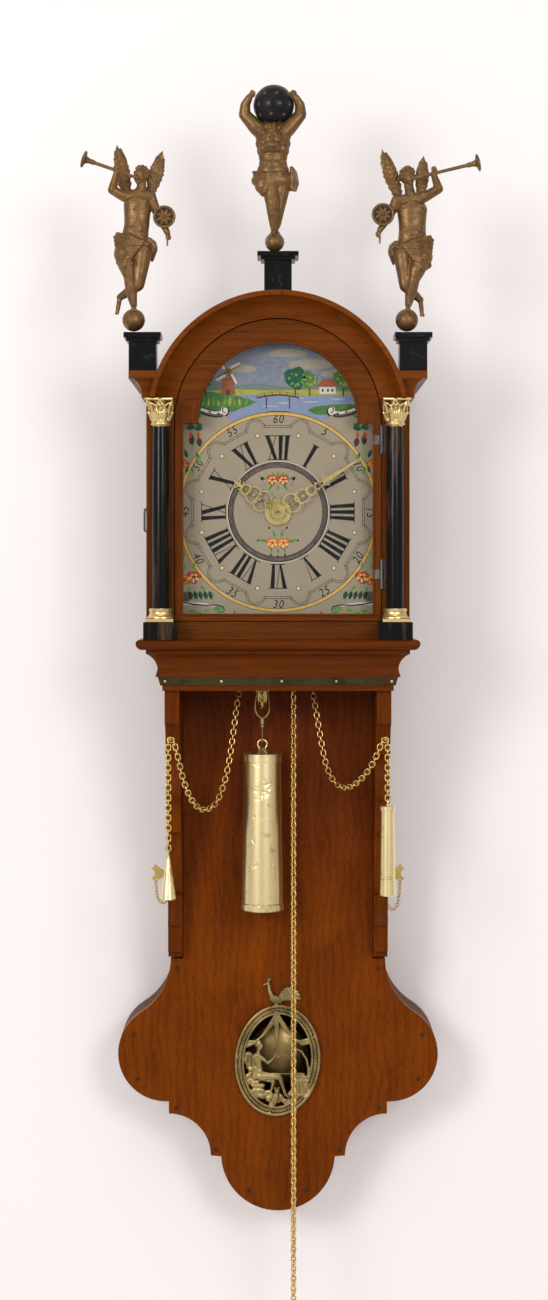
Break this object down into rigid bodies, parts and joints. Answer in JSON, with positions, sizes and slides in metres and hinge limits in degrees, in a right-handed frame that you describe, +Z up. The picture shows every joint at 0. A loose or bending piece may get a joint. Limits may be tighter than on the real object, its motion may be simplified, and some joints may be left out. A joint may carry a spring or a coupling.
{
  "type": "frisian wall clock",
  "caption": "Weight-driven wall clock: arched glazed hood with columns and gilt figures, shelf on shaped brackets, and a lobed tail with an oval window over the pendulum bob.",
  "frame": {"origin": "middle of the hole in the backboard that hangs on the wall hook, in the plane of the wall", "axes": "+Z up, +Y into the wall, +X to the right as seen from the front"},
  "size_m": [0.3932, 0.2179, 1.3075],
  "materials": {
    "varnished_oak": "reddish-brown varnish, worn",
    "dark_peg_wood": "oiled",
    "black_japanned_wood": "black japanned, worn",
    "gilt_wood": "dull old gilding",
    "dark_painted_wood": "dark paint with small stars",
    "clear_glass": "clear",
    "painted_dial_iron": "matt paint",
    "brass": "worn, satin",
    "wrought_iron": "dark forged"
  },
  "bodies": {
    "case": {"backboard": "varnished_oak", "tail_front_board": "varnished_oak", "tail_rim": "varnished_oak", "tail_pegs": "dark_peg_wood", "consoles": "varnished_oak", "seat_board": "varnished_oak", "front_rail": "varnished_oak", "base_moulding": "varnished_oak", "brass_band": "brass", "chain_hooks": "brass", "window_bezel": "brass", "dial_plate": "painted_dial_iron", "movement_frame": "wrought_iron", "bell": "brass", "pendulum_bracket": "wrought_iron", "alarm_chains": "brass", "main_chain": "brass", "left_tether": "brass", "right_tether": "brass"},
    "hood": {"hood_frame": "varnished_oak", "hood_sides": "varnished_oak", "side_glasses": "clear_glass", "hood_roof": "varnished_oak", "arch_moulding": "varnished_oak", "hood_cornice": "varnished_oak", "columns": "black_japanned_wood", "column_brasses": "brass", "pedestals": "black_japanned_wood", "left_trumpeter": "gilt_wood", "right_trumpeter": "gilt_wood", "globe_bearer": "gilt_wood", "globe": "dark_painted_wood", "door_hinges": "brass"},
    "door": {"door_frame": "varnished_oak", "door_glass": "clear_glass", "door_knuckles": "brass"},
    "hook": {"hood_hook": "wrought_iron"},
    "weight": {"main_weight": "brass", "stirrup": "brass"},
    "pulley_wheel": {"pulley": "brass"},
    "ring": {"loop_ring": "brass"},
    "going_great": {"going_great_wheel": "brass"},
    "going_second": {"second_wheel": "brass"},
    "going_escape": {"escape_wheel": "brass"},
    "strike_great": {"strike_great_wheel": "brass"},
    "strike_hoop": {"hoop_wheel": "brass"},
    "strike_fly": {"fly": "brass"},
    "alarm_drum": {"alarm_wheel": "brass"},
    "pendulum": {"pendulum_rod": "wrought_iron", "pendulum_bob": "brass"},
    "pallets": {"anchor": "wrought_iron"},
    "hammer_arm": {"hammer": "wrought_iron"},
    "minute": {"minute_hand": "brass"},
    "minute_drive": {"drive_wheel": "brass"},
    "hour": {"hour_hand": "brass"},
    "alarm_setting": {"alarm_disc": "brass"},
    "cone": {"cone_weight": "brass"},
    "tube": {"tube_weight": "brass"},
    "left_pin": {"left_lock_pin": "brass"},
    "right_pin": {"right_lock_pin": "brass"}
  },
  "joints": [
    {"name": "hood_slide", "type": "slide", "parent": "case", "child": "hood", "axis": [0, -1, 0], "range_m": [0, 0.18]},
    {"name": "door_swing", "type": "hinge", "parent": "hood", "child": "door", "pos_m": [0.1066, -0.1794, -0.15], "axis": [0, 0, 1], "range_deg": [0, 90]},
    {"name": "hood_hook_swing", "type": "hinge", "parent": "hood", "child": "hook", "pos_m": [-0.1385, -0.15, -0.1565], "axis": [1, 0, 0], "range_deg": [-100, 100]},
    {"name": "weight_drop", "type": "slide", "parent": "case", "child": "weight", "axis": [0, 0, -1], "range_m": [0, 0.6], "deforming": ["main_chain"]},
    {"name": "pulley_turn", "type": "hinge", "parent": "weight", "child": "pulley_wheel", "pos_m": [-0.01649, -0.11, -0.347], "axis": [1, 0, 0], "continuous": true},
    {"name": "ring_rise", "type": "slide", "parent": "case", "child": "ring", "axis": [0, 0, 1], "range_m": [0, 0.6]},
    {"name": "going_great_turn", "type": "hinge", "parent": "case", "child": "going_great", "pos_m": [0, -0.1265, -0.2073], "axis": [0, 1, 0], "continuous": true},
    {"name": "going_second_turn", "type": "hinge", "parent": "case", "child": "going_second", "pos_m": [0, -0.12, -0.1753], "axis": [0, 1, 0], "continuous": true},
    {"name": "going_escape_turn", "type": "hinge", "parent": "case", "child": "going_escape", "pos_m": [0, -0.12, -0.14905], "axis": [0, 1, 0], "continuous": true},
    {"name": "strike_great_turn", "type": "hinge", "parent": "case", "child": "strike_great", "pos_m": [0, -0.0935, -0.2073], "axis": [0, 1, 0], "continuous": true},
    {"name": "strike_hoop_turn", "type": "hinge", "parent": "case", "child": "strike_hoop", "pos_m": [0, -0.09, -0.1753], "axis": [0, 1, 0], "continuous": true},
    {"name": "strike_fly_turn", "type": "hinge", "parent": "case", "child": "strike_fly", "pos_m": [0, -0.09, -0.14905], "axis": [0, 1, 0], "continuous": true},
    {"name": "alarm_drum_turn", "type": "hinge", "parent": "case", "child": "alarm_drum", "pos_m": [0, -0.082, -0.249], "axis": [0, 1, 0], "continuous": true},
    {"name": "pendulum_swing", "type": "hinge", "parent": "case", "child": "pendulum", "pos_m": [0, -0.037, -0.12505], "axis": [0, 1, 0], "range_deg": [-3, 3]},
    {"name": "pallets_rock", "type": "hinge", "parent": "case", "child": "pallets", "pos_m": [0, -0.1, -0.12505], "axis": [0, 1, 0], "range_deg": [-3, 3]},
    {"name": "hammer_stroke", "type": "hinge", "parent": "case", "child": "hammer_arm", "pos_m": [0.024, -0.08, -0.141], "axis": [0, 1, 0], "range_deg": [-5, 0]},
    {"name": "minute_turn", "type": "hinge", "parent": "case", "child": "minute", "pos_m": [0, -0.15, -0.1593], "axis": [0, 1, 0], "continuous": true},
    {"name": "drive_turn", "type": "hinge", "parent": "case", "child": "minute_drive", "pos_m": [0, -0.143, -0.2073], "axis": [0, 1, 0], "continuous": true},
    {"name": "hour_turn", "type": "hinge", "parent": "case", "child": "hour", "pos_m": [0, -0.15, -0.1593], "axis": [0, 1, 0], "continuous": true},
    {"name": "alarm_setting_turn", "type": "hinge", "parent": "hour", "child": "alarm_setting", "pos_m": [0, -0.1535, -0.1593], "axis": [0, 1, 0], "continuous": true},
    {"name": "cone_swing", "type": "hinge", "parent": "case", "child": "cone", "pos_m": [-0.11309, -0.1725, -0.50955], "axis": [0, 1, 0], "range_deg": [-8, 8]},
    {"name": "tube_swing", "type": "hinge", "parent": "case", "child": "tube", "pos_m": [0.11309, -0.1725, -0.45775], "axis": [0, 1, 0], "range_deg": [-8, 8]},
    {"name": "left_pin_pull", "type": "slide", "parent": "case", "child": "left_pin", "axis": [-1, 0, 0], "range_m": [0, 0.012], "deforming": ["left_tether"]},
    {"name": "right_pin_pull", "type": "slide", "parent": "case", "child": "right_pin", "axis": [1, 0, 0], "range_m": [0, 0.012], "deforming": ["right_tether"]}
  ],
  "couplings": [
    {"joint": "ring_rise", "follows": "weight_drop", "ratio": 1},
    {"joint": "going_great_turn", "follows": "weight_drop", "rad_per_m": -60.648},
    {"joint": "going_second_turn", "follows": "weight_drop", "rad_per_m": 545.83},
    {"joint": "going_escape_turn", "follows": "weight_drop", "rad_per_m": -4571.4},
    {"joint": "strike_great_turn", "follows": "weight_drop", "rad_per_m": -60.648},
    {"joint": "strike_hoop_turn", "follows": "weight_drop", "rad_per_m": 545.83},
    {"joint": "strike_fly_turn", "follows": "weight_drop", "rad_per_m": -4571.4},
    {"joint": "drive_turn", "follows": "minute_turn", "ratio": -1},
    {"joint": "hour_turn", "follows": "minute_turn", "ratio": 0.083333},
    {"joint": "pallets_rock", "follows": "pendulum_swing", "ratio": 1}
  ]
}
